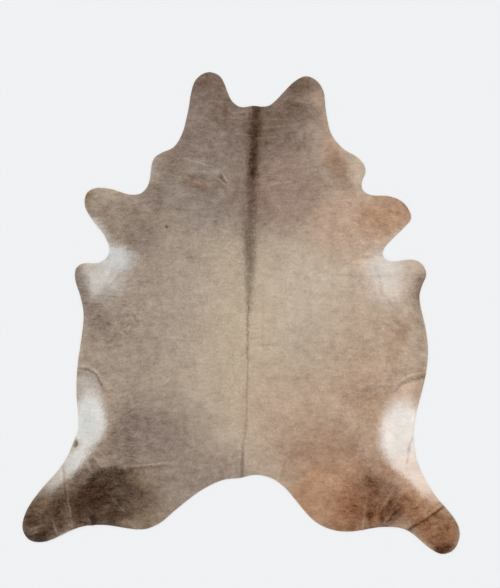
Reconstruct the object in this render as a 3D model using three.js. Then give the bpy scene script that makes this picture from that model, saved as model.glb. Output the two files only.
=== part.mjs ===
// A whole tanned cowhide laid out as a rug, hair side up: one flat skin, with a few pressed-in creases.
// Millimetres, +Z up. X runs across the hide, Y from the tail (-) to the nape (+).
// The origin is under the middle of the hide's outline, on the surface it lies on.

import * as THREE from 'three';
import { ConvexHull } from 'three/addons/math/ConvexHull.js';

// Driving dimensions
const LEATHER_THICKNESS = 2; // tanned skin
const COAT_THICKNESS = 2; // short hair, lying flat
const SHEET_THICKNESS = LEATHER_THICKNESS + COAT_THICKNESS;

// Fineness of the mesh
const EDGE_STEP = 16; // between points along the cut edge
const BODY_CELL = 84; // between points on the flat body
const CREASE_STEP = 14; // between points along a crease
const CREASE_ROWS = [-1, -0.5, 0, 0.5, 1]; // points across a crease, in half widths

// The cut edge, clockwise from the nape as seen from above. Each table is one lobe of the hide.
// The curve through all the points is smooth, so a point stands only where the edge changes its bend.

const rightCheek = [
  { x: 62, y: 1015 }, // middle of the nape
  { x: 103, y: 1010 },
  { x: 142, y: 1018 },
  { x: 265, y: 1136 },
  { x: 320, y: 1160 }, // tip
  { x: 375, y: 1133 },
  { x: 404, y: 1082 },
  { x: 412, y: 1010 },
  { x: 439, y: 882 }
];

const rightShoulder = [
  { x: 497, y: 807 },
  { x: 580, y: 754 },
  { x: 609, y: 702 }, // tip of the small flap
  { x: 589, y: 638 },
  { x: 596, y: 597 }
];

const rightForeleg = [
  { x: 640, y: 577 },
  { x: 718, y: 573 },
  { x: 780, y: 551 },
  { x: 820, y: 507 },
  { x: 832, y: 462 }, // tip
  { x: 802, y: 425 },
  { x: 697, y: 314 },
  { x: 694, y: 278 },
  { x: 725, y: 255 }
];

const rightElbow = [
  { x: 845, y: 261 },
  { x: 885, y: 240 },
  { x: 906, y: 190 }, // tip
  { x: 886, y: 138 },
  { x: 872, y: 80 },
];

const rightFlank = [
  { x: 903, y: -80 },
  { x: 914, y: -180 }, // widest
  { x: 903, y: -300 },
  { x: 848, y: -530 },
  { x: 843, y: -620 },
  { x: 860, y: -720 }
];

const rightHindLeg = [
  { x: 896, y: -808 },
  { x: 955, y: -900 },
  { x: 1030, y: -987 },
  { x: 1064, y: -1045 },
  { x: 1068, y: -1100 }, // shank tip
  { x: 1040, y: -1159 },
  { x: 986, y: -1179 },
  { x: 930, y: -1155 },
  { x: 808, y: -1060 },
  { x: 700, y: -1046 },
  { x: 528, y: -1069 }, // back of the thigh
  { x: 440, y: -1058 },
  { x: 360, y: -1018 }
];

const tailArch = [
  { x: 205, y: -845 },
  { x: 140, y: -804 },
  { x: 65, y: -791 }, // right of the tail
  { x: -8, y: -807 }, // foot of the tail
  { x: -85, y: -815 },
  { x: -195, y: -866 },
  { x: -320, y: -961 }
];

const leftHindLeg = [
  { x: -400, y: -1028 },
  { x: -480, y: -1058 },
  { x: -680, y: -1036 },
  { x: -790, y: -1047 },
  { x: -965, y: -1119 },
  { x: -1036, y: -1110 },
  { x: -1069, y: -1055 }, // shank tip
  { x: -1051, y: -970 },
  { x: -980, y: -865 },
  { x: -897, y: -772 },
  { x: -849, y: -700 },
  { x: -820, y: -632 }
];

const leftFlank = [
  { x: -799, y: -578 },
  { x: -796, y: -520 },
  { x: -805, y: -390 },
  { x: -801, y: -270 }, // widest
  { x: -770, y: -10 },
  { x: -784, y: 75 }
];

const leftElbow = [
  { x: -811, y: 165 }, // tip
  { x: -808, y: 218 },
  { x: -775, y: 243 },
  { x: -705, y: 245 },
  { x: -659, y: 270 }
];

const leftForeleg = [
  { x: -644, y: 312 },
  { x: -666, y: 375 },
  { x: -730, y: 460 },
  { x: -765, y: 528 }, // tip
  { x: -755, y: 586 },
  { x: -712, y: 612 },
  { x: -635, y: 607 },
  { x: -545, y: 580 }
];

const leftShoulder = [
  { x: -490, y: 586 },
  { x: -453, y: 630 },
  { x: -428, y: 755 }, // tip of the small flap
  { x: -392, y: 783 },
  { x: -330, y: 812 }
];

const leftCheek = [
  { x: -288, y: 878 },
  { x: -262, y: 975 },
  { x: -224, y: 1138 },
  { x: -165, y: 1179 }, // tip
  { x: -105, y: 1161 },
  { x: -45, y: 1038 },
  { x: -2, y: 1008 }
];

const edgePoints = [
  ...rightCheek, ...rightShoulder, ...rightForeleg, ...rightElbow, ...rightFlank, ...rightHindLeg,
  ...tailArch, ...leftHindLeg, ...leftFlank, ...leftElbow, ...leftForeleg, ...leftShoulder, ...leftCheek
];

// Creases: low round ridges, where the dried skin keeps the folds it was stored in. Each one runs from
// (x1, y1) to (x2, y2). bow pushes its middle sideways, to the left of that direction.
// An end that lies past the cut edge lets the ridge run out through the edge.

const creases = [
  { place: 'left shank', x1: -880, y1: -735, x2: -824, y2: -1075, bow: -10, width: 40, height: 4 },
  { place: 'left hock pucker', x1: -752, y1: -985, x2: -716, y2: -1070, bow: 0, width: 36, height: 5 },
  { place: 'left thigh, across', x1: -575, y1: -748, x2: -300, y2: -722, bow: -6, width: 34, height: 2.5 },
  { place: 'left thigh, upper', x1: -632, y1: -895, x2: -588, y2: -965, bow: 4, width: 30, height: 2 },
  { place: 'left thigh, lower', x1: -655, y1: -950, x2: -462, y2: -1035, bow: -10, width: 34, height: 2.5 },
  { place: 'left flank', x1: -795, y1: -250, x2: -672, y2: -325, bow: 18, width: 40, height: 2.5 },
  { place: 'right flank', x1: 770, y1: -345, x2: 925, y2: -300, bow: 22, width: 40, height: 2.5 },
  { place: 'right shank', x1: 805, y1: -1058, x2: 1010, y2: -920, bow: -6, width: 42, height: 4.5 },
  { place: 'right thigh', x1: 790, y1: -935, x2: 690, y2: -1040, bow: -8, width: 40, height: 4 },
  { place: 'right thigh, upright', x1: 604, y1: -930, x2: 596, y2: -1075, bow: 0, width: 36, height: 3.5 }
];

function hideOutline() {
  const knots = edgePoints.map((point) => new THREE.Vector3(point.x, point.y, 0));
  const edge = new THREE.CatmullRomCurve3(knots, true, 'centripetal');
  const steps = Math.round(edge.getLength() / EDGE_STEP);
  return edge.getSpacedPoints(steps).slice(0, steps);
}

function creaseLine(crease) {
  const from = new THREE.Vector3(crease.x1, crease.y1, 0);
  const to = new THREE.Vector3(crease.x2, crease.y2, 0);
  const along = to.clone().sub(from).normalize();
  const sideways = new THREE.Vector3(-along.y, along.x, 0);
  const middle = from.clone().lerp(to, 0.5).addScaledVector(sideways, 2 * crease.bow);
  return new THREE.QuadraticBezierCurve3(from, middle, to);
}

// How far the skin stands off the floor at a point: a cosine hump over the nearest crease line.
const creaseStations = creases.map((crease) => {
  const line = creaseLine(crease);
  return line.getSpacedPoints(Math.ceil(line.getLength() / CREASE_STEP) * 2);
});

function skinLift(point) {
  const lifts = creases.map((crease, index) => {
    const stations = creaseStations[index];
    const distances = stations.map((station) => Math.hypot(station.x - point.x, station.y - point.y));
    const distance = Math.min(...distances);
    if (distance >= crease.width / 2) return 0;
    const along = distances.indexOf(distance) / (stations.length - 1);
    const hump = 0.5 + 0.5 * Math.cos((2 * Math.PI * distance) / crease.width);
    return crease.height * hump * Math.sqrt(Math.sin(Math.PI * along));
  });
  return Math.max(...lifts);
}

// Points along each crease, in rows beside its line, so that the mesh follows the ridge.
function creasePoints() {
  return creases.flatMap((crease) => {
    const line = creaseLine(crease);
    const steps = Math.ceil(line.getLength() / CREASE_STEP);
    return CREASE_ROWS.flatMap((row) => line.getSpacedPoints(steps).map((station, step) => {
      const along = line.getTangentAt(step / steps);
      const offset = (row * crease.width) / 2;
      return new THREE.Vector3(station.x - along.y * offset, station.y + along.x * offset, 0);
    }));
  });
}

// Points over the flat body, in staggered rows.
function bodyPoints(box) {
  const rowHeight = BODY_CELL * Math.sqrt(3) / 2;
  const rows = Math.ceil((box.max.y - box.min.y) / rowHeight);
  const columns = Math.ceil((box.max.x - box.min.x) / BODY_CELL);
  const points = [];
  for (let row = 0; row <= rows; row += 1) {
    for (let column = 0; column <= columns; column += 1) {
      const x = box.min.x + (column + (row % 2) / 2) * BODY_CELL;
      points.push(new THREE.Vector3(x, box.min.y + row * rowHeight, 0));
    }
  }
  return points;
}

function isInside(point, outline) {
  let inside = false;
  outline.forEach((a, index) => {
    const b = outline[(index + 1) % outline.length];
    const crosses = (a.y > point.y) !== (b.y > point.y);
    if (crosses && point.x < a.x + ((point.y - a.y) / (b.y - a.y)) * (b.x - a.x)) inside = !inside;
  });
  return inside;
}

function isClear(point, others, gap) {
  return others.every((other) => Math.hypot(other.x - point.x, other.y - point.y) >= gap);
}

// Delaunay triangles of points in a plane: the underside of their hull, once they are lifted onto a bowl.
function triangulate(points) {
  const bowl = points.map((point) => new THREE.Vector3(point.x, point.y, point.lengthSq() / 1000));
  const places = new Map(bowl.map((point, index) => [point, index]));
  const hull = new ConvexHull().setFromPoints(bowl);
  return hull.faces.filter((face) => face.normal.z < 0).map((face) => {
    const { edge } = face;
    return [edge, edge.next, edge.prev].map((side) => places.get(side.head().point));
  });
}

function hideGeometry() {
  const outline = hideOutline();
  const box = new THREE.Box3().setFromPoints(outline);
  const points = [...outline];
  for (const point of creasePoints()) {
    if (isInside(point, outline) && isClear(point, points, CREASE_STEP * 0.45)) points.push(point);
  }
  for (const point of bodyPoints(box)) {
    if (isInside(point, outline) && isClear(point, points, BODY_CELL * 0.45)) points.push(point);
  }

  // Hull faces turned downwards run clockwise as seen from above, so the underside takes them as they are.
  const middle = (triangle) => triangle.reduce((sum, index) => sum.add(points[index]), new THREE.Vector3())
    .divideScalar(3);
  const underside = triangulate(points).filter((triangle) => isInside(middle(triangle), outline));
  const top = underside.map(([a, b, c]) => [a, c, b].map((index) => index + points.length));
  const wall = outline.flatMap((point, index) => {
    const next = (index + 1) % outline.length;
    return [[index, index + points.length, next], [next, index + points.length, next + points.length]];
  });

  const lifts = points.map(skinLift);
  const skin = points.flatMap((point, index) => [point.x, point.y, lifts[index]]);
  const coat = points.flatMap((point, index) => [point.x, point.y, lifts[index] + SHEET_THICKNESS]);
  const geometry = new THREE.BufferGeometry();
  geometry.setAttribute('position', new THREE.Float32BufferAttribute([...skin, ...coat], 3));
  geometry.setIndex([...underside, ...top, ...wall].flat());
  const centre = box.getCenter(new THREE.Vector3());
  geometry.translate(-centre.x, -centre.y, 0);
  return geometry;
}

const coatMaterial = new THREE.MeshStandardMaterial({ color: '#a3907f', roughness: 0.85, metalness: 0 });

const hide = new THREE.Mesh(hideGeometry(), coatMaterial);
hide.name = 'hide';

const rug = new THREE.Group();
rug.add(hide);

export default rug;
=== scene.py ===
import bpy
import math
import numpy as np
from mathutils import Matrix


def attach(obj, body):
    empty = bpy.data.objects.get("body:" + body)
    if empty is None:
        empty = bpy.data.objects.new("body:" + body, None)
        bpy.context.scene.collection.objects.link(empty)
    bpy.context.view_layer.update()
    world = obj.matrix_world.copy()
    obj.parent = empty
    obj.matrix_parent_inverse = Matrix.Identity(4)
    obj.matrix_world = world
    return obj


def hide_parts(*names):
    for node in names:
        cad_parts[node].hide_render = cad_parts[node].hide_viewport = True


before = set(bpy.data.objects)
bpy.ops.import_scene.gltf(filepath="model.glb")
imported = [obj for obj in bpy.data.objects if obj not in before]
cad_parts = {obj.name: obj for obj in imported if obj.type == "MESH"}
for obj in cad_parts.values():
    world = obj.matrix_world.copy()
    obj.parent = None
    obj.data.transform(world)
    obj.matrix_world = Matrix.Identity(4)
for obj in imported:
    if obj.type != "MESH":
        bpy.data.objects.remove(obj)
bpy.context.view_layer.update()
print("frame loaded")


# Camera, floor and light
cameraSetup = {"aimX": 0.044, "aimY": 0.093, "height": 4.0, "lens": 50.0, "farthest": 60.0}  # lens in mm

bpy.ops.object.camera_add(
    location=(cameraSetup["aimX"], cameraSetup["aimY"], cameraSetup["height"]),
    rotation=(0.0, 0.0, 0.0))
camera = bpy.context.object
camera.name = "camera"
camera.data.lens = cameraSetup["lens"]
camera.data.clip_end = cameraSetup["farthest"]
bpy.context.scene.camera = camera
bpy.context.scene.view_settings.view_transform = "Standard"

lightSetup = {
    "skyStrength": 0.62,
    "sunStrength": 1.45,
    "sunSoftness": 50.0,  # degrees across, as a broad window
    "sunPlace": (-1.68, 1.60, 3.28),  # only its direction from the middle of the hide counts
}


def fromSrgb(red, green, blue):
    def one(value):
        value = value / 255.0
        return value / 12.92 if value <= 0.04045 else ((value + 0.055) / 1.055) ** 2.4
    return (one(red), one(green), one(blue), 1.0)


def toneColour(name):
    return fromSrgb(*tones[name])


def newMaterial(name, setup):
    material = bpy.data.materials.new(name)
    material.use_nodes = True
    tree = material.node_tree
    shader = tree.nodes["Principled BSDF"]
    shader.inputs["Roughness"].default_value = setup["roughness"]
    shader.inputs["Specular IOR Level"].default_value = setup["specular"]
    return material, tree, shader


def addLights():
    world = bpy.data.worlds.new("studioSky")
    bpy.context.scene.world = world
    world.use_nodes = True
    sky = world.node_tree.nodes["Background"]
    sky.inputs["Color"].default_value = (1.0, 1.0, 1.0, 1.0)
    sky.inputs["Strength"].default_value = lightSetup["skyStrength"]
    bpy.ops.object.light_add(type="SUN", location=lightSetup["sunPlace"])
    sun = bpy.context.object
    sun.name = "softWindow"
    sun.data.energy = lightSetup["sunStrength"]
    sun.data.angle = math.radians(lightSetup["sunSoftness"])
    sun.rotation_mode = "QUATERNION"
    sun.rotation_quaternion = (-sun.location).to_track_quat("-Z", "Y")


floorSetup = {"size": 60.0, "colour": (240, 242, 243), "drop": 0.0003, "roughness": 0.9, "specular": 0.1}


def addFloor():
    bpy.ops.mesh.primitive_plane_add(size=floorSetup["size"], location=(0, 0, -floorSetup["drop"]))
    floor = bpy.context.object
    floor.name = "studioFloor"
    material, _, shader = newMaterial("paleFloor", floorSetup)
    shader.inputs["Base Color"].default_value = fromSrgb(*floorSetup["colour"])
    floor.data.materials.append(material)


addLights()
addFloor()
print("camera, light and floor ready")


# Relief of the skin. Each crease is a soft ridge along a bowed line, in metres.
creaseColumns = ("x1", "y1", "x2", "y2", "bow", "width", "height")
creaseRows = {
    "left shank": (-0.880, -0.735, -0.824, -1.075, -0.010, 0.030, 0.0050),
    "left hock pucker": (-0.752, -0.985, -0.716, -1.070, 0.0, 0.026, 0.0065),
    "left thigh, across": (-0.575, -0.748, -0.300, -0.722, -0.006, 0.022, 0.0026),
    "left flank": (-0.795, -0.250, -0.672, -0.325, 0.018, 0.030, 0.0026),
    "right flank": (0.770, -0.345, 0.925, -0.300, 0.022, 0.030, 0.0026),
    "right shank": (0.805, -1.058, 1.010, -0.920, -0.006, 0.034, 0.0068),
    "right thigh": (0.790, -0.935, 0.690, -1.040, -0.008, 0.032, 0.0062),
    "right thigh, upright": (0.604, -0.930, 0.596, -1.075, 0.0, 0.028, 0.0055),
}
creases = [dict(zip(creaseColumns, row)) for row in creaseRows.values()]

sheetSetup = {
    "skinTop": 0.0030,      # top of the skin and underfur on the flat, metres above the floor
    "thickness": 0.0030,
    "rimRound": 0.0011,
    "rimAngle": 55.0,       # degrees, past which an edge is rounded
    "smoothAngle": 50.0,
    "mergeDistance": 0.00001,
    "subdivisions": 2,
    "waveHeight": 0.0005,   # slow unevenness of the dried skin
    # painted shade on the skin seen between the locks
    "underfurPaintedShade": -0.04,
}

waves = (  # turns along x and along y, start, and share of each slow wave
    (9.1, 3.7, 1.3, 1.0),
    (-5.3, 11.9, 4.1, 1.0),
    (17.3, -7.9, 0.4, 0.6),
    (13.7, 19.1, 2.2, 0.5),
)

creasePaintedLight = {  # painted highlight along a ridge and painted shade at its foot on the lower right, the side away from the light
    "ridge": 0.38, "ridgeWidth": 0.0050, "foot": 0.18, "footAt": 0.010, "footWidth": 0.008,
    "fullHeight": 0.004, "most": 1.2,  # a crease this high has full marks, and none has more than most
}


def creaseStations(crease, count=40):
    start = np.array([crease["x1"], crease["y1"]])
    end = np.array([crease["x2"], crease["y2"]])
    along = (end - start) / np.linalg.norm(end - start)
    middle = (start + end) / 2 + 2 * crease["bow"] * np.array([-along[1], along[0]])
    t = np.linspace(0, 1, count)[:, None]
    return (1 - t) ** 2 * start + 2 * t * (1 - t) * middle + t ** 2 * end


def lineDistance(line, reach, x, y):
    stations = creaseStations(line)
    low, high = stations.min(0) - reach, stations.max(0) + reach
    near = (x > low[0]) & (x < high[0]) & (y > low[1]) & (y < high[1])
    if not near.any():
        return np.zeros(0), np.zeros(0), near
    dx = x[near][:, None] - stations[:, 0]
    dy = y[near][:, None] - stations[:, 1]
    distances = np.hypot(dx, dy)
    nearest = distances.argmin(1)
    rows = np.arange(len(nearest))
    shadeSide = np.sign(dx[rows, nearest] - dy[rows, nearest])  # right and below count as positive
    return distances[rows, nearest] * shadeSide, nearest / (len(stations) - 1), near


def slowWaves(x, y):
    height = sum(share * np.sin(alongX * x + alongY * y + start) for alongX, alongY, start, share in waves)
    return height / sum(share for _, _, _, share in waves)


def skinLift(x, y):
    lift = sheetSetup["waveHeight"] * (0.5 + 0.5 * slowWaves(x, y))
    for crease in creases:
        distance, along, near = lineDistance(crease, crease["width"], x, y)
        hump = 0.5 + 0.5 * np.cos(np.pi * np.clip(2 * np.abs(distance) / crease["width"], 0, 1))
        lift[near] += crease["height"] * hump * np.sqrt(np.sin(np.pi * along).clip(0, 1))
    return lift


# The skin itself
def selectOnly(piece):
    bpy.ops.object.select_all(action="DESELECT")
    piece.select_set(True)
    bpy.context.view_layer.objects.active = piece


def applyModifier(piece, kind, **settings):
    selectOnly(piece)
    modifier = piece.modifiers.new(kind.title(), kind)
    for key, value in settings.items():
        setattr(modifier, key, value)
    bpy.ops.object.modifier_apply(modifier=modifier.name)


def vertexPlaces(mesh):
    places = np.empty(len(mesh.vertices) * 3, np.float32)
    mesh.vertices.foreach_get("co", places)
    return places.reshape(-1, 3).astype(float)


def makeSkin():
    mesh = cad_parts["hide"].data.copy()
    mesh.materials.clear()
    for _ in ("hair side", "flesh side"):
        mesh.materials.append(None)
    skin = bpy.data.objects.new("hideSkin", mesh)
    bpy.context.scene.collection.objects.link(skin)
    selectOnly(skin)
    bpy.ops.object.mode_set(mode="EDIT")
    bpy.ops.mesh.select_all(action="SELECT")
    bpy.ops.mesh.remove_doubles(threshold=sheetSetup["mergeDistance"])
    bpy.ops.mesh.select_mode(type="FACE")
    bpy.ops.mesh.select_all(action="DESELECT")
    bpy.ops.object.mode_set(mode="OBJECT")
    for face in mesh.polygons:
        face.select = face.normal.z < 0.5  # walls and underside
    bpy.ops.object.mode_set(mode="EDIT")
    bpy.ops.mesh.delete(type="FACE")
    bpy.ops.object.mode_set(mode="OBJECT")
    levels = sheetSetup["subdivisions"]
    applyModifier(skin, "SUBSURF", levels=levels, render_levels=levels)

    places = vertexPlaces(mesh)
    places[:, 2] = sheetSetup["skinTop"] + skinLift(places[:, 0], places[:, 1])
    mesh.vertices.foreach_set("co", places.astype(np.float32).ravel())
    mesh.update()
    outline = boundaryLoop(mesh, places)

    applyModifier(skin, "SOLIDIFY", thickness=sheetSetup["thickness"], offset=-1.0, use_rim=True,
                  material_offset=1, material_offset_rim=1)
    applyModifier(skin, "BEVEL", width=sheetSetup["rimRound"], segments=2, limit_method="ANGLE",
                  angle_limit=math.radians(sheetSetup["rimAngle"]))
    selectOnly(skin)
    bpy.ops.object.shade_smooth_by_angle(angle=math.radians(sheetSetup["smoothAngle"]))
    return skin, outline


def boundaryLoop(mesh, places):
    edges = np.empty(len(mesh.edges) * 2, np.int32)
    mesh.edges.foreach_get("vertices", edges)
    edges = edges.reshape(-1, 2)
    corners = np.empty(len(mesh.loops), np.int32)
    mesh.loops.foreach_get("edge_index", corners)
    rim = edges[np.bincount(corners, minlength=len(edges)) == 1]
    neighbours = {}
    for a, b in rim.tolist():
        neighbours.setdefault(a, []).append(b)
        neighbours.setdefault(b, []).append(a)
    start = rim[0][0]
    loop, previous = [int(start)], None
    while True:
        options = [v for v in neighbours[loop[-1]] if v != previous]
        previous = loop[-1]
        if options[0] == loop[0] or (len(loop) > 2 and loop[0] in options):
            break
        loop.append(options[0])
    return places[loop][:, :2]


skin, outline = makeSkin()
print("skin shaped:", len(skin.data.polygons), "faces,", len(outline), "edge points")


# Coat colours
tones = {  # colours of the hair and of the bare skin
    "sand": (182, 166, 148),
    "straw": (193, 176, 153),
    "cloud": (196, 180, 162),
    "fawn": (183, 157, 135),
    "taupe": (161, 146, 132),
    "mauve": (166, 151, 139),
    "drab": (147, 131, 117),
    "slate": (137, 124, 115),
    "ash": (138, 121, 111),
    "rose": (152, 130, 117),
    "blush": (187, 160, 140),
    "honey": (189, 152, 124),
    "copper": (164, 124, 95),
    "tan": (176, 144, 118),
    "clay": (163, 131, 109),
    "rust": (152, 109, 80),
    "russet": (131, 90, 62),
    "chestnut": (94, 57, 35),
    "walnut": (112, 93, 78),
    "umber": (92, 72, 55),
    "peat": (80, 62, 48),
    "fallow": (136, 115, 94),
    "apricot": (174, 136, 107),
    "auburn": (110, 70, 45),
    "cocoa": (72, 50, 34),
    "bistre": (50, 33, 20),
    "cream": (207, 184, 166),
    "mist": (194, 187, 179),
    "pearl": (206, 207, 207),
    "frost": (216, 214, 209),
    "milk": (231, 223, 216),
    "shell": (228, 212, 199),
    "oat": (214, 202, 191),
    "suede": (214, 199, 178),
    "suedeCloud": (192, 174, 150),
    "suedeNap": (168, 149, 126),
}

patchColumns = ("x", "y", "wide", "long", "turn", "tone", "strength", "soft")
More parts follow.
